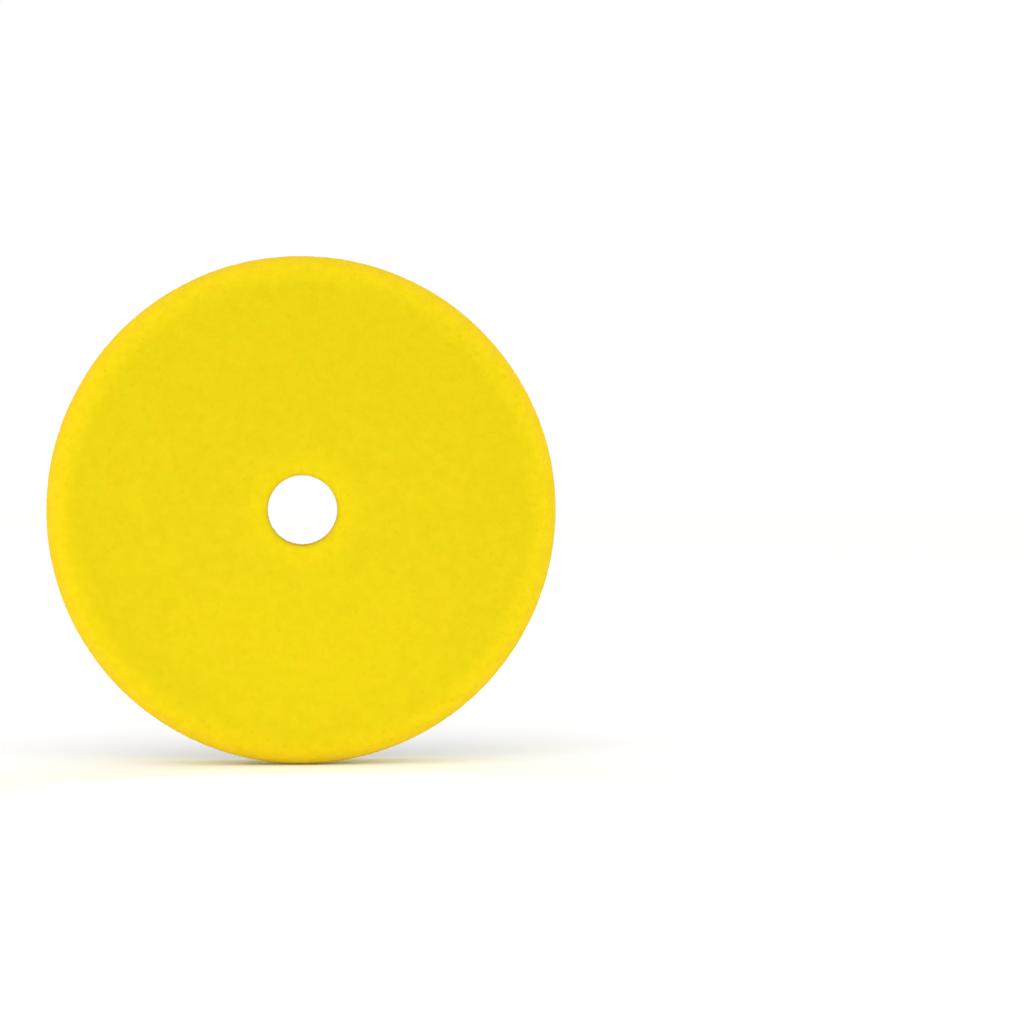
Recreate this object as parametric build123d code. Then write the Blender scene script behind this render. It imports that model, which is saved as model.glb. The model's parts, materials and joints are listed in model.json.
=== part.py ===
from build123d import *
import os

# A round foam polishing pad for a polishing machine.
# An open-cell foam disc does the work. Its side wall tapers towards the back, where a loop
# fabric is laminated to it with a hot-melt film. The fabric's knitted ground lies on the film,
# and its brushed loops stand outwards and grip the hooks of the machine's backing plate.
# One hole is punched through all the layers to centre the pad and to cool the middle.
#
# Frame, in millimetres: +Y is the pad's axis and points out of the loop side. The origin is on
# that axis, in the plane of the loop tips, where the backing plate sits. The working face
# looks towards -Y. +Z is up when the pad stands on its rim.

# Across the pad
FACE_RADIUS = 75.0            # widest ring of the foam, just behind the working face
BACK_RADIUS = 70.8            # foam where it meets the fabric
FABRIC_RADIUS = 70.0          # film, ground and loops are cut together
HOLE_RADIUS = 10.5            # punched through every layer

# Through the pad
PILE_THICKNESS = 1.5          # standing loops
GROUND_THICKNESS = 0.5        # knitted base of the loop fabric
FILM_THICKNESS = 0.2          # hot-melt film between the fabric and the foam
FOAM_THICKNESS = 20.0

# Soft edges of the foam
RIM_ROUND_WIDTH = 10.0        # how far in from the rim the working face starts to turn
RIM_ROUND_DEPTH = 6.0         # how far behind the face the turn meets the side wall
LIP_RADIUS = 1.5              # rounded lip of the hole at the working face

# Where one layer ends and the next begins, along Y
PILE_BACK_Y = -PILE_THICKNESS
GROUND_BACK_Y = PILE_BACK_Y - GROUND_THICKNESS
FILM_BACK_Y = GROUND_BACK_Y - FILM_THICKNESS
FACE_Y = FILM_BACK_Y - FOAM_THICKNESS


def flat_ring(low_y, high_y):
    """One layer of the laminated fabric: a flat ring about the Y axis."""
    width = FABRIC_RADIUS - HOLE_RADIUS
    middle_radius = HOLE_RADIUS + width / 2
    section = Pos(middle_radius, (low_y + high_y) / 2) * Rectangle(width, high_y - low_y)
    return revolve(section, Axis.Y)


def foam_disc():
    """The foam, from its half section: X is the radius and Y runs along the pad's axis."""
    hole_back = Vector(HOLE_RADIUS, FILM_BACK_Y)
    wall_back = Vector(BACK_RADIUS, FILM_BACK_Y)
    wall_front = Vector(FACE_RADIUS, FACE_Y + RIM_ROUND_DEPTH)
    face_rim = Vector(FACE_RADIUS - RIM_ROUND_WIDTH, FACE_Y)
    face_lip = Vector(HOLE_RADIUS + LIP_RADIUS, FACE_Y)
    hole_front = Vector(HOLE_RADIUS, FACE_Y + LIP_RADIUS)
    along_axis = Vector(0, -1)
    along_face = Vector(-1, 0)
    outline = [
        Line(hole_back, wall_back),
        Line(wall_back, wall_front),
        Spline(wall_front, face_rim, tangents=[along_axis, along_face]),
        Line(face_rim, face_lip),
        RadiusArc(face_lip, hole_front, LIP_RADIUS),
        Line(hole_front, hole_back),
    ]
    return revolve(make_face(outline), Axis.Y)


def build_parts():
    """Every sub-part by name, in its place in the pad."""
    return {
        "foam_disc": foam_disc(),
        "bond_film": flat_ring(FILM_BACK_Y, GROUND_BACK_Y),
        "fabric_ground": flat_ring(GROUND_BACK_Y, PILE_BACK_Y),
        "loop_pile": flat_ring(PILE_BACK_Y, 0),
    }


os.makedirs("parts", exist_ok=True)
for name, shape in build_parts().items():
    export_step(shape, f"parts/{name}.step")
    print(name, "volume", round(shape.volume), "mm3, box", shape.bounding_box())
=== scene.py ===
import json
import math

import bpy
import numpy as np
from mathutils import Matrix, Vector, noise


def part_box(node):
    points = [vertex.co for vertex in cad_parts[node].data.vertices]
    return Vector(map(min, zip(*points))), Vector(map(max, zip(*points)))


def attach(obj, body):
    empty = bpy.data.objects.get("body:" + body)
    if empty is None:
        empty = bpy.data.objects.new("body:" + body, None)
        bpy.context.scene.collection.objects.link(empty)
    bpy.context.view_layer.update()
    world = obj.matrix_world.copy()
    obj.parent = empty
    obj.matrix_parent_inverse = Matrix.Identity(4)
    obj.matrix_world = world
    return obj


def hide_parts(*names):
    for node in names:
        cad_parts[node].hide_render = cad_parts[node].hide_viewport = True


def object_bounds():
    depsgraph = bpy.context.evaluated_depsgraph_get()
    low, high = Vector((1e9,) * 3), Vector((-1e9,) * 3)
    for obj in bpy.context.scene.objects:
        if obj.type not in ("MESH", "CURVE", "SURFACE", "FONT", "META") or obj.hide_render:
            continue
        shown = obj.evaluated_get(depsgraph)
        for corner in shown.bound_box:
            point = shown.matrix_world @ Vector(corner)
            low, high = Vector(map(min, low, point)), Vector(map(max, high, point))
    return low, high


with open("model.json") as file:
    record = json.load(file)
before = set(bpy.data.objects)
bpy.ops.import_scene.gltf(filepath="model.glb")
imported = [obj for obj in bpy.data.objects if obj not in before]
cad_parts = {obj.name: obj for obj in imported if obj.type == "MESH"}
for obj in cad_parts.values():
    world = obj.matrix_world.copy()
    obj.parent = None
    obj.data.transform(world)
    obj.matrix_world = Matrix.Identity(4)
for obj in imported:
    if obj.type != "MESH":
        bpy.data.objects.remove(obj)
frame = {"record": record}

# A foam polishing pad standing on its rim. Its axis is Y: the foam face looks towards -Y and
# the loop fabric towards +Y. Everything is in metres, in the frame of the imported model.

cad_low, cad_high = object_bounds()

MM = 0.001
TURN = 2 * math.pi

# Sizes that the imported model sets
foam_low, foam_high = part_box("foam_disc")
film_low, film_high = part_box("bond_film")
ground_low, ground_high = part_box("fabric_ground")
pile_low, pile_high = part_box("loop_pile")
FACE_Y = foam_low.y
FOAM_BACK_Y = foam_high.y
FOAM_THICKNESS = FOAM_BACK_Y - FACE_Y
FOAM_RADIUS = foam_high.x
FABRIC_RADIUS = pile_high.x
PILE_BACK_Y = pile_low.y
TIPS_Y = pile_high.y
mounts = {mount["name"]: mount for mount in frame["record"]["mounts"]}
HOLE_RADIUS = mounts["centre_hole"]["dims"]["r_mm"] * MM
FLOOR_Z = cad_low.z


# ---------------------------------------------------------------- mesh helpers

def mesh_object(name, points, faces, material):
    """A smooth-shaded mesh object that rides on the pad's only body."""
    mesh = bpy.data.meshes.new(name)
    mesh.from_pydata(points.tolist(), [], faces)
    mesh.materials.append(material)
    mesh.shade_smooth()
    mesh.validate()
    piece = bpy.data.objects.new(name, mesh)
    bpy.context.scene.collection.objects.link(piece)
    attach(piece, "root")
    return piece


def paint(piece, name, values):
    """Stores one number a vertex, for the piece's material to read."""
    attribute = piece.data.attributes.new(name, "FLOAT", "POINT")
    attribute.data.foreach_set("value", values.astype(np.float32))


def resample(outline, step):
    """Points along a polyline of (radius, y), about step apart."""
    outline = np.array(outline)
    lengths = np.linalg.norm(np.diff(outline, axis=0), axis=1)
    along = np.concatenate([[0.0], np.cumsum(lengths)])
    count = max(2, round(along[-1] / step) + 1)
    places = np.linspace(0.0, along[-1], count)
    return np.stack([np.interp(places, along, outline[:, k]) for k in range(2)], axis=1)


def arc(centre, width, height, start, end, steps=24):
    """Part of an ellipse about (radius, y), with angles in degrees from +radius towards +y."""
    angles = np.radians(np.linspace(start, end, steps))
    x = centre[0] + width * np.cos(angles)
    y = centre[1] + height * np.sin(angles)
    return list(zip(x, y))


def stitch(first_a, count_a, first_b, count_b):
    """Triangles between two rings of vertices that may have different counts."""
    faces = []
    i = j = 0
    while i < count_a or j < count_b:
        corner_a, corner_b = first_a + i % count_a, first_b + j % count_b
        if j >= count_b or (i < count_a and (i + 1) * count_b <= (j + 1) * count_a):
            i += 1
            faces.append((corner_a, corner_b, first_a + i % count_a))
        else:
            j += 1
            faces.append((corner_a, corner_b, first_b + j % count_b))
    return faces


def revolve(stretches):
    """A closed solid of revolution about Y, with triangles of about the same size all over.

    stretches is a list of (outline, step), end to end round the closed half section.
    Returns the vertices, their outward normals, their spacing and the triangles."""
    rings = []
    for outline, step in stretches:
        rings += [(radius, y, step) for radius, y in resample(outline, step)[:-1]]
    section = np.array([ring[:2] for ring in rings])
    ahead = np.roll(section, -1, axis=0) - np.roll(section, 1, axis=0)
    ahead /= np.linalg.norm(ahead, axis=1)[:, None]
    points, normals, spacing, firsts, counts = [], [], [], [], []
    for (radius, y, step), (ahead_radius, ahead_y) in zip(rings, ahead):
        count = max(16, round(TURN * radius / step))
        angles = TURN * np.arange(count) / count
        cos, sin = np.cos(angles), np.sin(angles)
        firsts.append(sum(counts))
        counts.append(count)
        points.append(np.stack([radius * cos, np.full(count, y), radius * sin], axis=1))
        normals.append(np.stack([ahead_y * cos, np.full(count, -ahead_radius), ahead_y * sin], axis=1))
        spacing.append(np.full(count, step))
    faces = []
    for index in range(len(rings)):
        after = (index + 1) % len(rings)
        faces += stitch(firsts[index], counts[index], firsts[after], counts[after])
    return np.concatenate(points), np.concatenate(normals), np.concatenate(spacing), faces


def from_axis(points):
    """How far each point is from the pad's axis."""
    return np.hypot(points[:, 0], points[:, 2])


def noise_shift(seed):
    """Moves a noise to another part of its endless pattern, one for each seed."""
    return Vector((seed * 7.1, seed * 3.7, seed * 5.3))


def wavy(points, size, seed):
    """Smooth noise from -1 to 1 with lumps of that size, one value a point."""
    shift = noise_shift(seed)
    return np.array([noise.noise(Vector(p) / size + shift) for p in points])


def waves(points, layers, seed):
    """Layers of noise, added up; layers are (height, size), and each takes the next seed."""
    total = np.zeros(len(points))
    for height, size in layers:
        total += height * wavy(points, size, seed)
        seed += 1
    return total


def cells(points, size, seed):
    """From 0 on the struts between foam cells of that size to about 1 in a cell's middle."""
    shift = noise_shift(seed)
    values = []
    for p in points:
        nearest, second = noise.voronoi(Vector(p) / size + shift)[0][:2]
        values.append(second - nearest)
    return np.array(values)


def smooth_step(values, low, high):
    """0 at low and before it, 1 at high and past it, and a smooth rise between."""
    t = np.clip((values - low) / (high - low), 0.0, 1.0)
    return t * t * (3 - 2 * t)


def jittered(points, normals, amount, share, rng):
    """Points moved within the surface by up to amount, times their share."""
    jitter = rng.uniform(-amount, amount, points.shape)
    jitter -= (jitter * normals).sum(1)[:, None] * normals
    return points + jitter * share[:, None]


# ---------------------------------------------------------------- material helper

UNIT = (0.0, 1.0)


class Finish:
    """A node material in the making. What adds a node returns that node's output."""

    def __init__(self, name):
        self.material = bpy.data.materials.new(name)
        self.material.use_nodes = True
        self.nodes = self.material.node_tree.nodes
        self.links = self.material.node_tree.links
        self.shader = self.nodes["Principled BSDF"]

    def fill(self, socket, value):
        """Links an output to a socket, or sets the socket to a number or an (r, g, b) colour."""
        if isinstance(value, bpy.types.NodeSocket):
            self.links.new(value, socket)
        elif isinstance(value, tuple):
            socket.default_value = (*value, 1.0)
        else:
            socket.default_value = value

    def set(self, name, value):
        """Fills one of the shader's own sockets."""
        self.fill(self.shader.inputs[name], value)

    def add(self, kind, **inputs):
        """A new node, with its inputs filled by name (an underscore stands for a space)."""
        node = self.nodes.new(kind)
        for name, value in inputs.items():
            self.fill(node.inputs[name.replace("_", " ")], value)
        return node

    def place(self):
        """The place on the object, in metres."""
        return self.add("ShaderNodeTexCoord").outputs["Object"]

    def painted(self, name):
        """The number that paint() stored under that name."""
        node = self.add("ShaderNodeAttribute")
        node.attribute_name = name
        return node.outputs["Fac"]

    def noise(self, size, detail=2.0):
        """Noise with lumps of that size in metres."""
        node = self.add("ShaderNodeTexNoise", Vector=self.place(), Scale=1 / size, Detail=detail)
        return node.outputs["Fac"]

    def cell_edges(self, size):
        """The distance to the nearest edge, in a pattern of cells of that size in metres."""
        node = self.add("ShaderNodeTexVoronoi", Vector=self.place(), Scale=1 / size)
        node.feature = "DISTANCE_TO_EDGE"
        return node.outputs["Distance"]

    def cell_middles(self, size):
        """The distance to the nearest middle, in a pattern of cells of that size in metres."""
        node = self.add("ShaderNodeTexVoronoi", Vector=self.place(), Scale=1 / size)
        return node.outputs["Distance"]

    def remap(self, value, from_range, to_range=UNIT):
        """Rescales a value from one range to another, clamped, with a smooth rise."""
        node = self.add("ShaderNodeMapRange", Value=value)
        node.interpolation_type = "SMOOTHSTEP"
        for name, number in zip(("From Min", "From Max", "To Min", "To Max"), from_range + to_range):
            node.inputs[name].default_value = number
        return node.outputs["Result"]

    def multiply(self, first, second):
        """The product of two outputs."""
        node = self.add("ShaderNodeMath")
        node.operation = "MULTIPLY"
        self.fill(node.inputs[0], first)
        self.fill(node.inputs[1], second)
        return node.outputs["Value"]

    def mix(self, share, first, second):
        """The first colour, with that share of the second."""
        node = self.add("ShaderNodeMix")
        node.data_type = "RGBA"
        colours = [socket for socket in node.inputs if socket.type == "RGBA"]
        for socket, value in zip((node.inputs["Factor"], *colours), (share, first, second)):
            self.fill(socket, value)
        return [socket for socket in node.outputs if socket.type == "RGBA"][0]

    def ramp(self, value, stops):
        """A colour ramp over a value; stops are (place, (r, g, b))."""
        node = self.add("ShaderNodeValToRGB", Fac=value)
        elements = node.color_ramp.elements
        while len(elements) < len(stops):
            elements.new(0.5)
        for element, (place, colour) in zip(elements, stops):
            element.position = place
            element.color = (*colour, 1.0)
        return node.outputs["Color"]

    def bump(self, height, depth, under=None):
        """A bump of that depth in metres, over another bump if one is given."""
        node = self.add("ShaderNodeBump", Height=height, Distance=depth)
        if under is not None:
            self.fill(node.inputs["Normal"], under)
        return node.outputs["Normal"]


# ---------------------------------------------------------------- materials

FOAM_FACE = (0.794, 0.638, 0.0052)
FOAM_COOL = (0.774, 0.634, 0.0052)
FOAM_ORANGE = (0.860, 0.550, 0.0095)
# the colour of the painted highlight along the face's edges, round the hole and in it
FOAM_HIGHLIGHT = (0.905, 0.695, 0.0060)
FOAM_WARM = (0.915, 0.630, 0.0155)
FOAM_LEMON = (0.810, 0.735, 0.0280)
# the darker colour: painted shade in the pores, and the foam's own darker patches and specks
FOAM_SHADE_AND_MOTTLE = (0.65, 0.51, 0.0)
PORE_SIZE = 0.62 * MM
PORE_DEPTH = 0.10 * MM
FINE_PORE_SIZE = 0.30 * MM
FINE_PORE_DEPTH = 0.012 * MM
FACE_PORES = 0.12              # how strongly painted shade darkens the pores of the dense, dressed face
CUT_PORES = 0.46               # and the cut sides, where the cells are open
DRIFT_SIZE = 26 * MM           # slow changes of tone
TINT_SIZE = 5.0 * MM           # patches that are more orange
TINT_SHARE = 0.17              # the most that each of these adds
MOTTLE_SIZE = 3.0 * MM         # patches that are darker
MOTTLE_SHARE = 0.18
SPECK_SPACING = 3.6 * MM       # single dark cells
SPECK_SHARE = 0.22


def foam_material():
    """Foam: fine pores with painted shade in their hollows, soft mottling and sparse dark specks. Its
    pores are open where it was cut. A painted highlight brightens the face's edges, the ring round the
    hole and the hole itself. The foam is warm round the rim and lemon towards the back."""
    foam = Finish("yellow_foam")
    hollow = foam.remap(foam.cell_edges(PORE_SIZE), (0.02, 0.30))
    fine_hollow = foam.remap(foam.cell_edges(FINE_PORE_SIZE), (0.02, 0.35))
    pore_strength = foam.remap(foam.painted("open_cells"), UNIT, (FACE_PORES, CUT_PORES))
    drift = foam.remap(foam.noise(DRIFT_SIZE), (0.3, 0.7))
    tint = foam.remap(foam.noise(TINT_SIZE, 3.0), (0.35, 0.65), (0.0, TINT_SHARE))
    # painted shade in the hollows of the cells, stronger where they are open
    pores = foam.multiply(foam.remap(hollow, UNIT), pore_strength)
    mottling = foam.remap(foam.noise(MOTTLE_SIZE, 3.0), (0.35, 0.65), (0.0, MOTTLE_SHARE))
    specks = foam.remap(foam.cell_middles(SPECK_SPACING), (0.10, 0.24), (SPECK_SHARE, 0.0))
    colour = foam.mix(drift, FOAM_COOL, FOAM_FACE)
    colour = foam.mix(tint, colour, FOAM_ORANGE)
    # painted highlight: brighter along the rounded edges of the face and in the shaded hole
    colour = foam.mix(foam.painted("painted_highlight"), colour, FOAM_HIGHLIGHT)
    colour = foam.mix(foam.painted("rim"), colour, FOAM_WARM)
    # lemon towards the back of the side wall; in the hole, painted light that lifts its shade
    colour = foam.mix(foam.painted("wall"), colour, FOAM_LEMON)
    # painted shade in the pores, then darker patches and specks of the foam's own tone
    for darkening in (pores, mottling, specks):
        colour = foam.mix(darkening, colour, FOAM_SHADE_AND_MOTTLE)
    foam.set("Base Color", colour)
    foam.set("Roughness", foam.remap(hollow, UNIT, (0.86, 0.98)))
    struts = foam.multiply(foam.remap(hollow, UNIT, (1.0, 0.0)), pore_strength)
    fine_struts = foam.remap(fine_hollow, UNIT, (1.0, 0.0))
    deep = foam.bump(struts, PORE_DEPTH / CUT_PORES)
    foam.set("Normal", foam.bump(fine_struts, FINE_PORE_DEPTH, deep))
    foam.set("Specular IOR Level", 0.04)
    foam.set("Sheen Weight", 0.02)
    foam.set("Sheen Roughness", 0.6)
    return foam.material


FILM_DARK, FILM_LIGHT = (0.45, 0.38, 0.16), (0.70, 0.62, 0.34)
FILM_STREAK_SIZE = 0.8 * MM
FILM_STREAK_DEPTH = 0.05 * MM


def film_material():
    """Hot-melt film: milky and a little glossy, with flow streaks."""
    film = Finish("clear_film")
    streaks = film.noise(FILM_STREAK_SIZE, 3.0)
    film.set("Base Color", film.ramp(streaks, [(0.3, FILM_DARK), (0.7, FILM_LIGHT)]))
    film.set("Roughness", film.remap(streaks, (0.2, 0.8), (0.28, 0.5)))
    film.set("Normal", film.bump(streaks, FILM_STREAK_DEPTH))
    return film.material


KNIT_DARK, KNIT_LIGHT = (0.008, 0.008, 0.010), (0.035, 0.035, 0.042)
COURSE_UNIT = 4.5 * MM         # a course of the knit is 0.314 of this, about 1.4 mm
COURSE_DEPTH = 0.08 * MM


def knit_material():
    """The knitted ground: black yarn in fine courses."""
    knit = Finish("black_knit")
    texture = knit.add("ShaderNodeTexWave", Vector=knit.place(), Scale=1 / COURSE_UNIT,
                       Distortion=1.5, Detail_Scale=3.0)
    courses = texture.outputs["Fac"]
    knit.set("Base Color", knit.ramp(courses, [(0.2, KNIT_DARK), (0.8, KNIT_LIGHT)]))
    knit.set("Normal", knit.bump(courses, COURSE_DEPTH))
    knit.set("Roughness", 0.85)
    knit.set("Specular IOR Level", 0.1)
    return knit.material


PILE_DARK, PILE_LIGHT = (0.0008, 0.0011, 0.0018), (0.0038, 0.0046, 0.0064)
# the pile that leans round and below the strokes is real, but its grey is a painted highlight of light
# from above
PILE_LEANING_HIGHLIGHT = (0.024, 0.025, 0.029)
# the pressed pattern is real; its grey speckle is a painted sheen of the flattened fibres
PRESSED_SHEEN_SPECKLE = [(0.12, (0.60, 0.60, 0.66)), (0.34, (0.15, 0.15, 0.168)), (0.6, (0.022, 0.022, 0.026))]
PILE_SHEEN = 0.02
FUZZ_SIZE, FUZZ_DEPTH = 0.5 * MM, 0.20 * MM
GRAIN_SIZE, GRAIN_DEPTH = 0.52 * MM, 0.08 * MM


def pile_material():
    """The loop pile: deep black where it stands, speckled grey where it is pressed flat, the grey a
    painted sheen. Below the strokes the pile that leans is grey with a painted highlight.
    """
    pile = Finish("black_loops")
    pressed = pile.painted("pressed")
    grain = pile.cell_middles(GRAIN_SIZE)
    fuzz = pile.noise(FUZZ_SIZE, 3.0)
    standing = pile.ramp(fuzz, [(0.3, PILE_DARK), (0.75, PILE_LIGHT)])
    # grey of the pile that leans: a painted highlight
    leaning_highlight = pile.mix(pile.remap(pressed, (0.1, 0.6)), standing, PILE_LEANING_HIGHLIGHT)
    flat = pile.remap(pressed, (0.66, 0.9))
    # pressed flat: grey speckle as a painted sheen
    pile.set("Base Color", pile.mix(flat, leaning_highlight, pile.ramp(grain, PRESSED_SHEEN_SPECKLE)))
    pile.set("Roughness", pile.remap(flat, UNIT, (0.97, 0.6)))
    pile.set("Normal", pile.bump(grain, GRAIN_DEPTH, pile.bump(fuzz, FUZZ_DEPTH)))
    pile.set("Specular IOR Level", 0.06)
    pile.set("Sheen Weight", PILE_SHEEN)
    pile.set("Sheen Roughness", 0.4)
    return pile.material


FIBRE_TONE_SIZE = 0.9 * MM


def fibre_material(name, dark, light, roughness, specular):
    """Loops and loose fibres: one tone that varies from fibre to fibre."""
    fibre = Finish(name)
    tone = fibre.noise(FIBRE_TONE_SIZE)
    fibre.set("Base Color", fibre.ramp(tone, [(0.35, dark), (0.7, light)]))
    fibre.set("Roughness", roughness)
    fibre.set("Specular IOR Level", specular)
    fibre.set("Sheen Weight", PILE_SHEEN)
    return fibre.material


# ---------------------------------------------------------------- foam

FOAM_STEP = 0.56 * MM          # between the vertices where the foam shows
HIDDEN_STEP = 2.5 * MM         # and where it doesn't
CURVE_STEPS = 20               # along each curve of the half section that isn't an arc
FOAM_LEDGE = 0.8 * MM          # foam that shows round the fabric at the back
LEDGE_TURN = 1.5 * MM          # how far in from the back edge the foam stops showing
RIM_ROUND_WIDTH = 10.5 * MM
RIM_ROUND_DEPTH = 6.0 * MM
DISH_REACH = 7.0 * MM          # how far from the hole the face starts to dip
DISH_DEPTH = 0.6 * MM
LIP_WIDTH = 1.8 * MM
LIP_DEPTH = 1.6 * MM
HOLE_BULGE = 0.2 * MM          # foam relaxes into the hole after punching
FOAM_SKIN = 0.12 * MM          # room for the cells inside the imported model's surface


def foam_section():
    """The half section of the foam, as stretches for revolve()."""
    face = FACE_Y + FOAM_SKIN
    widest = FOAM_RADIUS - FOAM_SKIN
    back_radius = FABRIC_RADIUS + FOAM_LEDGE
    lip_centre = (HOLE_RADIUS + LIP_WIDTH, face + DISH_DEPTH + LIP_DEPTH)
    wall_length = FOAM_BACK_Y - lip_centre[1]
    hole = []
    dish = []
    for t in np.linspace(0.0, 1.0, CURVE_STEPS):
        bulge = HOLE_BULGE * math.sin(math.pi * t)
        hole.append((HOLE_RADIUS - bulge, FOAM_BACK_Y - wall_length * t))
        dip = DISH_DEPTH * (0.5 + 0.5 * math.cos(math.pi * t))
        dish.append((lip_centre[0] + DISH_REACH * t, face + dip))
    lip = arc(lip_centre, LIP_WIDTH, LIP_DEPTH, 180, 270)
    rim_centre = (widest - RIM_ROUND_WIDTH, face + RIM_ROUND_DEPTH)
    rim = arc(rim_centre, RIM_ROUND_WIDTH, RIM_ROUND_DEPTH, 270, 370)
    back_edge = [(back_radius, FOAM_BACK_Y)]
    under_fabric = [(back_radius - LEDGE_TURN, FOAM_BACK_Y)]
    shown = hole + lip + dish + rim + back_edge + under_fabric
    return [(shown, FOAM_STEP), (under_fabric + [hole[0]], HIDDEN_STEP)]


RIM_GLOW_START = 10.5 * MM     # the painted highlight band inside the rim starts this far in
RIM_GLOW_FULL = 3.0 * MM       # and is full from here outwards
HOLE_GLOW_FULL = 0.5 * MM      # the painted highlight ring round the hole is full this far out
HOLE_GLOW_END = 9.5 * MM       # and ends here
HOLE_GLOW = 0.55               # how bright it is, against the band inside the rim
HOLE_WALL_WIDTH = 2.5 * MM     # what counts as inside the hole, outwards from its wall
RIM_WARMTH = 0.9               # how warm the rim is, at most
HOLE_LEMON = 0.3               # how lemon the hole's wall is, against the back of the side wall: painted light that lifts the shade in the hole

# How far behind the face each change starts and ends
TURNING = (0.8 * MM, 4.0 * MM)                                  # from the face to the sides
GLOW_FADES = (3.5 * MM, 8.0 * MM)                               # the painted highlight band inside the rim
LEMON_GROWS = (0.25 * FOAM_THICKNESS, 0.80 * FOAM_THICKNESS)    # the side wall
CELLS_OPEN = (2.0 * MM, 7.0 * MM)                               # from dressed to cut foam


def open_cells(points):
    """0 on the working face, rising to 1 on the cut side wall and in the hole."""
    return smooth_step(points[:, 1] - FACE_Y, *CELLS_OPEN)


def paint_foam(piece, points):
    """Where the foam has its painted highlight, and where it is warm, lemon and open, for
    foam_material().
    """
    radius = from_axis(points)
    behind_face = points[:, 1] - FACE_Y
    turning = smooth_step(behind_face, *TURNING)
    outside = smooth_step(radius, FOAM_RADIUS * 0.5, FOAM_RADIUS * 0.8)
    in_hole = turning * (1 - smooth_step(radius, HOLE_RADIUS, HOLE_RADIUS + HOLE_WALL_WIDTH))
    rim_glow = smooth_step(radius, FOAM_RADIUS - RIM_GLOW_START, FOAM_RADIUS - RIM_GLOW_FULL)
    rim_glow *= 1 - smooth_step(behind_face, *GLOW_FADES)
    hole_glow = 1 - smooth_step(radius, HOLE_RADIUS + HOLE_GLOW_FULL, HOLE_RADIUS + HOLE_GLOW_END)
    lemon = smooth_step(behind_face, *LEMON_GROWS) * outside
    # painted highlight: a band inside the rim and a ring round the hole, where light catches the rounded
    # foam, and a lift of the shaded hole
    paint(piece, "painted_highlight", np.maximum.reduce([rim_glow, HOLE_GLOW * hole_glow, in_hole]))
    paint(piece, "rim", RIM_WARMTH * turning * outside)
    # in the hole the lemon is painted light that lifts the shade of its deep, bounce-darkened wall
    paint(piece, "wall", np.maximum(lemon, HOLE_LEMON * in_hole))
    paint(piece, "open_cells", open_cells(points))


FOAM_JITTER = 0.22 * FOAM_STEP
PIT_SIZE = 1.5 * MM            # the larger cells, as shallow pits
FACE_PIT_DEPTH = 0.05 * MM
CUT_PIT_DEPTH = 0.14 * MM
FOAM_WAVES = ((0.02 * MM, 3.0 * MM), (0.05 * MM, 14 * MM), (0.12 * MM, 45 * MM))    # (height, size)


def make_foam():
    """The foam disc, with its cells as shallow pits and a slow unevenness of the whole surface."""
    points, normals, spacing, faces = revolve(foam_section())
    rng = np.random.default_rng(11)
    shown = (spacing < HIDDEN_STEP) * smooth_step(FOAM_BACK_Y - points[:, 1], 0.0, 1.0 * MM)
    points = jittered(points, normals, FOAM_JITTER, shown, rng)
    pit_depth = FACE_PIT_DEPTH + (CUT_PIT_DEPTH - FACE_PIT_DEPTH) * open_cells(points)
    pits = smooth_step(cells(points, PIT_SIZE, 1), 0.05, 0.55)
    height = waves(points, FOAM_WAVES, 2) - pit_depth * pits
    points = points + (height * shown)[:, None] * normals
    piece = mesh_object("foam_body", points, faces, foam_material())
    paint_foam(piece, points)
    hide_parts("foam_disc")
    return piece


# ---------------------------------------------------------------- film and knitted ground

def thin_ring(low, high, outer, inner, edge_step, flat_step):
    """A thin layer with round cut edges, as vertices, outward normals and triangles."""
    middle, half = (low + high) / 2, (high - low) / 2
    outer_edge = arc((outer - half, middle), half, half, -90, 90, 8)
    inner_edge = arc((inner + half, middle), half, half, 90, 270, 8)
    points, normals, _, faces = revolve([
        (outer_edge, edge_step),
        ([outer_edge[-1], inner_edge[0]], flat_step),
        (inner_edge, edge_step),
        ([inner_edge[-1], outer_edge[0]], flat_step),
    ])
    return points, normals, faces


def push_edges(points, normals, amount):
    """Moves the two cut edges of a layer away from its middle, by an amount a vertex."""
    radius = from_axis(points)
    near_edge = smooth_step(np.abs(normals[:, 1]), 1.0, 0.6)
    outwards = np.where(radius > FABRIC_RADIUS / 2, 1.0, -1.0)
    stretch = 1 + amount * near_edge * outwards / radius
    points[:, 0] *= stretch
    points[:, 2] *= stretch


FILM_SHIFT = 0.1 * MM          # the film's edges are this much further from the axis than the fabric's
FILM_EDGE_STEP, FILM_FLAT_STEP = 0.125 * MM, 3.0 * MM
FILM_CREEP = ((0.22 * MM, 2.5 * MM), (0.10 * MM, 0.7 * MM))    # (height, size)


def make_film():
    """The melted film: a thin ring that has crept out unevenly at its two cut edges."""
    points, normals, faces = thin_ring(film_low.y, film_high.y, FABRIC_RADIUS + FILM_SHIFT,
                                       HOLE_RADIUS + FILM_SHIFT, FILM_EDGE_STEP, FILM_FLAT_STEP)
    push_edges(points, normals, waves(points, FILM_CREEP, 5))
    piece = mesh_object("film_layer", points, faces, film_material())
    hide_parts("bond_film")


GROUND_EDGE_STEP, GROUND_FLAT_STEP = 0.1 * MM, 2.0 * MM
STITCH_PITCH, STITCH_HEIGHT = 0.75 * MM, 0.12 * MM


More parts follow.
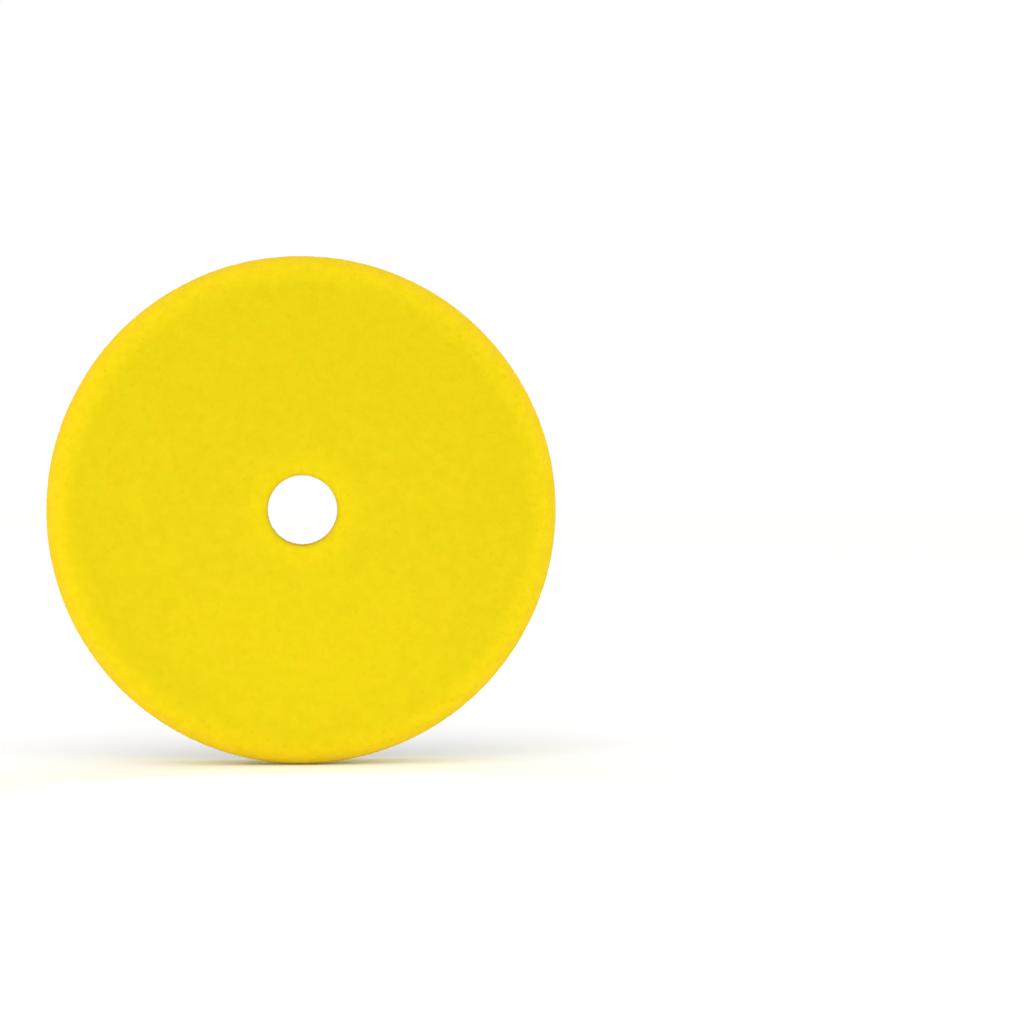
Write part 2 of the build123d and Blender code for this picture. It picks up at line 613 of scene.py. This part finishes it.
def make_ground():
    """The knitted ground of the fabric, with the cut ends of its stitches along both edges."""
    points, normals, faces = thin_ring(ground_low.y, ground_high.y, FABRIC_RADIUS, HOLE_RADIUS,
                                       GROUND_EDGE_STEP, GROUND_FLAT_STEP)
    turns = TURN / STITCH_PITCH * points
    push_edges(points, normals, STITCH_HEIGHT * np.sin(turns[:, 0]) * np.sin(turns[:, 2]))
    piece = mesh_object("knitted_ground", points, faces, knit_material())
    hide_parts("fabric_ground")
    return piece


# ---------------------------------------------------------------- pressed pattern

# The pattern is pressed into the pile on a slanted grid: a hexagon outline round three
# lozenges, with a small lozenge on each side. Places are (across, up) as seen from behind.
MARK_STEP_A = np.array([31.7, -31.4]) * MM    # from one mark to the next, along each way of the grid
MARK_STEP_B = np.array([-9.9, -52.6]) * MM
MARK_FIRST = np.array([-5.1, 31.5]) * MM
MARKS_A, MARKS_B = range(-4, 5), range(-3, 4)    # enough steps each way to cover the fabric
HEXAGON_HEIGHT = 38 * MM
HEXAGON_STROKE = 2.35 * MM
LOZENGE_PITCH = 9.0 * MM
LOZENGE_WIDTH, LOZENGE_HEIGHT = 8.3 * MM, 17.5 * MM
LOZENGE_STROKE = 1.7 * MM
CORE_SHARE = 0.38              # the solid core of a lozenge, against the lozenge
SIDE_LOZENGE_PLACE = 21.4 * MM
SIDE_LOZENGE_WIDTH, SIDE_LOZENGE_HEIGHT = 7.2 * MM, 12 * MM
STROKE_EDGE = 0.3 * MM         # how softly a stroke ends
PLAIN_EDGE = 1.4 * MM          # the pattern stops this far inside the fabric's cut edges

# Below a stroke the pile leans, and only slowly stands up again; pile_material() greys it there as a
# painted highlight of the light from above: (how far below, how pressed)
TRAIL = ((0.5 * MM, 0.6), (1.0 * MM, 0.48), (1.5 * MM, 0.34), (2.0 * MM, 0.2), (2.5 * MM, 0.1))


def inside_hexagon(across, up):
    """Distance inside a hexagon that stands on a corner; negative outside."""
    half_width = HEXAGON_HEIGHT / 2 * math.cos(math.radians(30))
    slant = np.abs(up) * math.cos(math.radians(30)) + np.abs(across) * math.sin(math.radians(30))
    return half_width - np.maximum(np.abs(across), slant)


def inside_lozenge(across, up, width, height):
    """Distance inside a lozenge; negative outside."""
    reach = 1 / math.hypot(2 / width, 2 / height)
    return reach * (1 - np.abs(across) * 2 / width - np.abs(up) * 2 / height)


def band(inside, width):
    """Distance inside the outline stroke that lies just within a shape's edge."""
    return width / 2 - np.abs(inside - width / 2)


def inside_mark(across, up):
    """Distance inside the strokes of one mark, about its centre."""
    strokes = [band(inside_hexagon(across, up), HEXAGON_STROKE)]
    for place in (-1, 0, 1):
        shifted = across - place * LOZENGE_PITCH
        outline = inside_lozenge(shifted, up, LOZENGE_WIDTH, LOZENGE_HEIGHT)
        core = inside_lozenge(shifted, up, CORE_SHARE * LOZENGE_WIDTH, CORE_SHARE * LOZENGE_HEIGHT)
        strokes += [band(outline, LOZENGE_STROKE), core]
    for side in (-1, 1):
        shifted = across - side * SIDE_LOZENGE_PLACE
        strokes.append(inside_lozenge(shifted, up, SIDE_LOZENGE_WIDTH, SIDE_LOZENGE_HEIGHT))
    return np.maximum.reduce(strokes)


def inside_pattern(x, z):
    """Distance inside the nearest stroke of the whole pattern, at places on the pad's back."""
    best = np.full(len(x), -FABRIC_RADIUS)
    for a in MARKS_A:
        for b in MARKS_B:
            centre = MARK_FIRST + a * MARK_STEP_A + b * MARK_STEP_B
            best = np.maximum(best, inside_mark(-x - centre[0], z - centre[1]))
    return best


def pressed_amount(x, z):
    """1 where the pile is pressed flat, fading to 0 outside the strokes and more slowly below."""
    amount = smooth_step(inside_pattern(x, z), -STROKE_EDGE, STROKE_EDGE)
    for drop, share in TRAIL:
        lower = smooth_step(inside_pattern(x, z + drop), -STROKE_EDGE, STROKE_EDGE)
        amount = np.maximum(amount, share * lower)
    radius = np.hypot(x, z)
    from_edge = np.minimum(FABRIC_RADIUS - radius, radius - HOLE_RADIUS)
    return amount * smooth_step(from_edge, 0.3 * PLAIN_EDGE, PLAIN_EDGE)


# ---------------------------------------------------------------- pile bed

PILE_STEP = 0.47 * MM
PILE_JITTER = 0.2 * PILE_STEP
BED_Y = TIPS_Y - 0.45 * MM     # top of the tangled bed that the loops rise from
PRESSED_DROP = 0.62 * MM
EDGE_ROUND = 0.45 * MM
PILE_EDGE_INSET = 0.25 * MM
PILE_WAVES = ((0.16 * MM, 1.1 * MM), (0.10 * MM, 4 * MM))    # (height, size)
PILE_GRAIN = 0.07 * MM         # how far single vertices stand up or down
PRESSED_SMOOTHING = 0.6        # how much of its lumps the pressed pile has lost


def make_pile_bed():
    """The tangled bed of the pile: lumpy where it stands, sunk where it is pressed."""
    outer, inner = FABRIC_RADIUS - PILE_EDGE_INSET, HOLE_RADIUS + PILE_EDGE_INSET
    outer_top = arc((outer - EDGE_ROUND, BED_Y - EDGE_ROUND), EDGE_ROUND, EDGE_ROUND, 0, 90, 10)
    inner_top = arc((inner + EDGE_ROUND, BED_Y - EDGE_ROUND), EDGE_ROUND, EDGE_ROUND, 90, 180, 10)
    outer_foot, inner_foot = (outer, PILE_BACK_Y), (inner, PILE_BACK_Y)
    points, normals, spacing, faces = revolve([
        ([outer_foot] + outer_top + inner_top + [inner_foot], PILE_STEP),
        ([inner_foot, outer_foot], HIDDEN_STEP),
    ])
    rng = np.random.default_rng(21)
    shown = (spacing < HIDDEN_STEP) * smooth_step(points[:, 1], PILE_BACK_Y, PILE_BACK_Y + 0.4 * MM)
    points = jittered(points, normals, PILE_JITTER, shown, rng)
    pressed = pressed_amount(points[:, 0], points[:, 2])
    lumps = waves(points, PILE_WAVES, 7) + rng.uniform(-PILE_GRAIN, PILE_GRAIN, len(points))
    points = points + (lumps * (1 - PRESSED_SMOOTHING * pressed) * shown)[:, None] * normals
    points[:, 1] -= PRESSED_DROP * pressed * smooth_step(normals[:, 1], 0.2, 0.9)
    piece = mesh_object("pile_bed", points, faces, pile_material())
    paint(piece, "pressed", pressed)
    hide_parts("loop_pile")
    return piece


# ---------------------------------------------------------------- loops and fibres

FIBRE_SIDES = 3
TIP_SHARE = 0.55               # a fibre's thickness at its ends, against its middle
SCATTER_INSET = 0.5 * MM       # from both edges of the fabric


def fibres(name, material, places, lengths, heights, headings, leans, thickness, knots):
    """Many short arched fibres in one mesh.

    places are where their feet stand (x, y, z), headings the way each lies in the fabric's
    plane, heights how far its middle rises along +Y, and leans a sideways push of its middle.
    knots is how many rings of vertices each has."""
    count = len(places)
    t = np.linspace(-1.0, 1.0, knots)
    rise = np.sqrt(1 - t * t * 0.999)
    along = np.stack([np.cos(headings), np.zeros(count), np.sin(headings)], axis=1)
    middle = places[:, None, :] + along[:, None, :] * (lengths[:, None] * t / 2)[:, :, None]
    middle = middle + leans[:, None, :] * rise[None, :, None]
    middle[:, :, 1] += heights[:, None] * rise[None, :]
    ahead = np.gradient(middle, axis=1)
    ahead /= np.linalg.norm(ahead, axis=2)[:, :, None]
    across = np.cross(ahead, [0.0, 1.0, 0.0])
    across /= np.maximum(np.linalg.norm(across, axis=2), 1e-6)[:, :, None]
    upwards = np.cross(across, ahead)
    radius = thickness / 2 * (TIP_SHARE + (1 - TIP_SHARE) * rise)
    rings = []
    for side in range(FIBRE_SIDES):
        angle = TURN * side / FIBRE_SIDES
        offset = math.cos(angle) * across + math.sin(angle) * upwards
        rings.append(middle + offset * radius[None, :, None])
    points = np.stack(rings, axis=2).reshape(-1, 3)
    piece = mesh_object(name, points, fibre_faces(count, knots), material)
    return piece


def fibre_faces(count, knots):
    """The faces of that many fibres: quads between the rings of each and a cap on each end."""
    first = np.arange(count)[:, None, None] * knots * FIBRE_SIDES
    ring = first + np.arange(knots - 1)[None, :, None] * FIBRE_SIDES
    side = np.arange(FIBRE_SIDES)
    after = (side + 1) % FIBRE_SIDES
    corners = [ring + side, ring + after, ring + FIBRE_SIDES + after, ring + FIBRE_SIDES + side]
    quads = np.stack(corners, axis=3).reshape(-1, 4)
    first_caps = first[:, 0] + side[::-1]
    last_caps = first[:, 0] + (knots - 1) * FIBRE_SIDES + side
    return quads.tolist() + first_caps.tolist() + last_caps.tolist()


def scattered(pitch, rng):
    """Jittered places (x, z) on the fabric ring, about pitch apart."""
    steps = np.arange(-FABRIC_RADIUS, FABRIC_RADIUS, pitch)
    x, z = (grid.ravel() for grid in np.meshgrid(steps, steps))
    x = x + rng.uniform(-0.5, 0.5, len(x)) * pitch
    z = z + rng.uniform(-0.5, 0.5, len(z)) * pitch
    radius = np.hypot(x, z)
    keep = (radius < FABRIC_RADIUS - SCATTER_INSET) & (radius > HOLE_RADIUS + SCATTER_INSET)
    return x[keep], z[keep]


LOOP_PITCH = 0.92 * MM
LOOP_SECTORS = 3
LOOP_LENGTHS, LOOP_HEIGHTS = (0.7 * MM, 1.3 * MM), (0.3 * MM, 0.52 * MM)
LOOP_LEAN = 0.16 * MM          # how far their middles scatter sideways
LOOP_FOOT = 0.12 * MM          # how deep a loop's feet stand in the bed
LOOP_DROOP = 0.12 * MM         # how far the loops lean down the standing pad
STANDING_BELOW = 0.35          # loops stand where the pile is pressed less than this
LOOP_DARK, LOOP_LIGHT = (0.0011, 0.0015, 0.0023), (0.0055, 0.0062, 0.0086)


def make_loops():
    """Standing loops all over the pile that isn't pressed, in equal sectors of the ring."""
    rng = np.random.default_rng(31)
    material = fibre_material("loop_yarn", LOOP_DARK, LOOP_LIGHT, roughness=0.8, specular=0.06)
    x, z = scattered(LOOP_PITCH, rng)
    free = pressed_amount(x, z) < STANDING_BELOW
    x, z = x[free], z[free]
    sector = ((np.arctan2(z, x) / TURN) % 1.0 * LOOP_SECTORS).astype(int)
    pieces = []
    for index in range(LOOP_SECTORS):
        mine = sector == index
        count = int(mine.sum())
        places = np.stack([x[mine], np.full(count, BED_Y - LOOP_FOOT), z[mine]], axis=1)
        leans = rng.normal(0.0, LOOP_LEAN, (count, 3))
        leans[:, 1] = 0.0
        leans[:, 2] -= LOOP_DROOP
        pieces.append(fibres(
            f"standing_loops_{index + 1}", material, places,
            lengths=rng.uniform(*LOOP_LENGTHS, count), heights=rng.uniform(*LOOP_HEIGHTS, count),
            headings=rng.uniform(0.0, TURN, count), leans=leans, thickness=0.11 * MM, knots=5))
    return pieces


PRESSED_PITCH = 0.72 * MM
PRESSED_ABOVE = 0.8            # flattened fibres lie where the pile is pressed more than this
PRESSED_SINK = 0.02 * MM       # how far they lie in the pressed bed
PRESSED_LENGTHS, PRESSED_HEIGHTS = (0.4 * MM, 0.9 * MM), (0.04 * MM, 0.16 * MM)
PRESSED_LEAN = 0.12 * MM
LINT_SHARE = 0.0006            # of the places where a pale fibre may lie loose on the pile
LINT_HEIGHT = 0.25 * MM        # of loose fibres over the bed
# the grey of the flattened fibres is a painted sheen; the same colours make the pale lint
PRESSED_DARK, PRESSED_LIGHT = (0.07, 0.07, 0.08), (0.62, 0.62, 0.68)


def make_pressed_fibres():
    """Flattened fibres where the pattern is pressed, grey with a painted sheen, and a little pale lint.
    """
    rng = np.random.default_rng(41)
    material = fibre_material("pressed_yarn", PRESSED_DARK, PRESSED_LIGHT, roughness=0.5, specular=0.3)
    x, z = scattered(PRESSED_PITCH, rng)
    pressed = pressed_amount(x, z) > PRESSED_ABOVE
    lint = rng.uniform(0.0, 1.0, len(x)) < LINT_SHARE
    over_bed = np.where(pressed, -PRESSED_DROP - PRESSED_SINK, LINT_HEIGHT)
    places = np.stack([x, BED_Y + over_bed, z], axis=1)[pressed | lint]
    count = len(places)
    leans = rng.normal(0.0, PRESSED_LEAN, (count, 3))
    leans[:, 1] = 0.0
    return fibres(
        "pressed_fibres", material, places,
        lengths=rng.uniform(*PRESSED_LENGTHS, count), heights=rng.uniform(*PRESSED_HEIGHTS, count),
        headings=rng.uniform(0.0, TURN, count), leans=leans, thickness=0.10 * MM, knots=4)


EDGE_PITCH = 0.5 * MM
EDGE_LENGTHS, EDGE_HEIGHTS = (0.5 * MM, 1.3 * MM), (0.0, 0.15 * MM)
EDGE_LEAN = 0.08 * MM
EDGE_SPREAD = 0.8              # radians that the headings scatter about straight out
EDGE_ROWS = (PILE_BACK_Y + 0.1 * MM, BED_Y - 0.25 * MM)    # the lowest and highest fibres along Y
EDGE_DARK, EDGE_LIGHT = (0.002, 0.002, 0.003), (0.012, 0.012, 0.015)


def make_edge_fibres():
    """Cut ends of yarn that stick out along both edges of the fabric."""
    rng = np.random.default_rng(51)
    material = fibre_material("edge_yarn", EDGE_DARK, EDGE_LIGHT, roughness=0.8, specular=0.1)
    outer = round(TURN * FABRIC_RADIUS / EDGE_PITCH)
    inner = round(TURN * HOLE_RADIUS / EDGE_PITCH)
    count = outer + inner
    angles = rng.uniform(0.0, TURN, count)
    on_outer = np.arange(count) < outer
    radius = np.where(on_outer, FABRIC_RADIUS - PILE_EDGE_INSET, HOLE_RADIUS + PILE_EDGE_INSET)
    y = rng.uniform(*EDGE_ROWS, count)
    places = np.stack([radius * np.cos(angles), y, radius * np.sin(angles)], axis=1)
    headings = angles + rng.normal(0.0, EDGE_SPREAD, count)
    leans = rng.normal(0.0, EDGE_LEAN, (count, 3))
    return fibres(
        "edge_fibres", material, places,
        lengths=rng.uniform(*EDGE_LENGTHS, count), heights=rng.uniform(*EDGE_HEIGHTS, count),
        headings=headings, leans=leans, thickness=0.08 * MM, knots=4)


# ---------------------------------------------------------------- studio

NEUTRAL = (1.0, 1.0, 1.0)
WARM = (1.0, 0.94, 0.88)
AMBIENT = (1.10, 0.583, 1.03)  # how bright the world is along X, along the pad's axis and along Z
KEY_BRIGHTNESS = 0.12          # what the key light adds to a white surface that faces it
KEY_WAY = (0.35, 0.75, -1.35)  # the way it shines, down from the upper left front
KEY_ANGLE = math.radians(50)   # how wide the key light is in the sky

# The boxes that lift the pad's edges: name, place, size, brightness, colour
SOFTBOXES = (
    ("left_box", (-0.62, -0.42, -0.01), 0.28, 0.15, WARM),
    ("right_box", (0.80, -0.40, 0.10), 0.35, 0.08, NEUTRAL),
    ("back_right_box", (0.9, 1.0, 0.5), 0.6, 0.12, NEUTRAL),
)

SPOT_BRIGHTNESS = 0.50         # what the floor spot adds to the white floor at its middle
SPOT_ANGLE = math.radians(17)
SPOT_HEIGHT = 0.6              # of the floor spot above the floor
SPOT_REACH = 0.085             # from the pad's face to the middle of the spot
SPOT_RADIUS = 0.02             # of the lamp itself, which softens its shadows


def add_light(name, data, shining, place=(0.0, 0.0, 0.0)):
    """Links a light at that place that shines along a direction."""
    light = bpy.data.objects.new(name, data)
    light.location = place
    light.rotation_mode = "QUATERNION"
    light.rotation_quaternion = Vector(shining).to_track_quat("-Z", "Y")
    bpy.context.scene.collection.objects.link(light)


def add_softbox(name, place, size, brightness, colour):
    """A square light that shines at the pad. brightness is what it adds there to a white
    surface that faces it."""
    data = bpy.data.lights.new(name, "AREA")
    data.shape = "SQUARE"
    data.size = size
    data.color = colour
    data.energy = brightness * math.pi ** 2 * Vector(place).length_squared
    add_light(name, data, -Vector(place), place)


def add_floor_spot():
    """A soft spot straight down on the floor before the pad, which lifts the rim's underside."""
    spot = bpy.data.lights.new("floor_spot", "SPOT")
    spot.spot_size = SPOT_ANGLE
    spot.spot_blend = 1.0
    spot.shadow_soft_size = SPOT_RADIUS
    spot.energy = SPOT_BRIGHTNESS * 4 * math.pi ** 2 * SPOT_HEIGHT ** 2
    add_light("floor_spot", spot, (0.0, 0.0, -1.0), (0.0, FACE_Y - SPOT_REACH, FLOOR_Z + SPOT_HEIGHT))


def make_lights():
    """A wide, soft key light from the upper left front, the softboxes and the floor spot."""
    key = bpy.data.lights.new("key", "SUN")
    key.angle = KEY_ANGLE
    key.energy = KEY_BRIGHTNESS * math.pi
    key.color = WARM
    add_light("key", key, KEY_WAY)
    for name, place, size, brightness, colour in SOFTBOXES:
        add_softbox(name, place, size, brightness, colour)
    add_floor_spot()


def make_world():
    """White light all round, stronger from the sides than along the pad's axis. The background is
    plain white where it is looked at directly."""
    world = bpy.data.worlds.new("studio")
    bpy.context.scene.world = world
    world.use_nodes = True
    nodes, link = world.node_tree.nodes, world.node_tree.links.new
    background = nodes["Background"]
    background.inputs["Color"].default_value = (1.0, 1.0, 1.0, 1.0)
    direction = nodes.new("ShaderNodeTexCoord").outputs["Generated"]
    squared = nodes.new("ShaderNodeVectorMath")
    squared.operation = "MULTIPLY"
    link(direction, squared.inputs[0])
    link(direction, squared.inputs[1])
    lighting = nodes.new("ShaderNodeVectorMath")
    lighting.operation = "DOT_PRODUCT"
    lighting.inputs[1].default_value = AMBIENT
    link(squared.outputs["Vector"], lighting.inputs[0])
    path = nodes.new("ShaderNodeLightPath")
    strength = nodes.new("ShaderNodeMapRange")
    strength.inputs["To Max"].default_value = 1.0
    link(lighting.outputs["Value"], strength.inputs["To Min"])
    link(path.outputs["Is Camera Ray"], strength.inputs["Value"])
    link(strength.outputs["Result"], background.inputs["Strength"])


FLOOR_HALF = 4.0
FLOOR_COLOUR = (0.98, 0.98, 0.98)


def make_floor():
    """A plain pale floor that the pad stands on."""
    corners = []
    for x, y in ((-1, -1), (1, -1), (1, 1), (-1, 1)):
        corners.append((x * FLOOR_HALF, y * FLOOR_HALF, FLOOR_Z))
    pale = Finish("pale_floor")
    pale.set("Base Color", FLOOR_COLOUR)
    pale.set("Roughness", 0.9)
    pale.set("Specular IOR Level", 0.1)
    mesh = bpy.data.meshes.new("floor")
    mesh.from_pydata(corners, [], [(0, 1, 2, 3)])
    mesh.materials.append(pale.material)
    floor = bpy.data.objects.new("floor", mesh)
    bpy.context.scene.collection.objects.link(floor)


LENS = 100.0
SENSOR = 36.0
PICTURE_WIDTH = 2.003          # of the picture, in pad diameters, at the working face
LEFT_OF_MIDDLE = 0.4097        # of the pad in the picture, in pad diameters
ABOVE_MIDDLE = 0.0031          # and how far it stands above the middle
CAMERA_ELEVATION = math.radians(1.2)


def make_camera():
    """A long lens on the pad's axis, turned so that the pad stands left of the middle."""
    diameter = 2 * FOAM_RADIUS
    distance = PICTURE_WIDTH * diameter / 2 / (SENSOR / 2 / LENS)
    data = bpy.data.cameras.new("camera")
    data.lens = LENS
    data.sensor_width = SENSOR
    camera = bpy.data.objects.new("camera", data)
    camera.location = (0.0, FACE_Y - distance, distance * math.tan(CAMERA_ELEVATION))
    aim = Vector((LEFT_OF_MIDDLE * diameter, FACE_Y, -ABOVE_MIDDLE * diameter))
    camera.rotation_mode = "QUATERNION"
    camera.rotation_quaternion = (aim - camera.location).to_track_quat("-Z", "Y")
    bpy.context.scene.collection.objects.link(camera)
    bpy.context.scene.camera = camera


make_camera()
make_lights()
make_world()
make_floor()
foam = make_foam()
make_film()
ground = make_ground()
pile_bed = make_pile_bed()
loops = make_loops()
pressed_fibres = make_pressed_fibres()
edge_fibres = make_edge_fibres()

bpy.context.scene.view_settings.view_transform = "Standard"
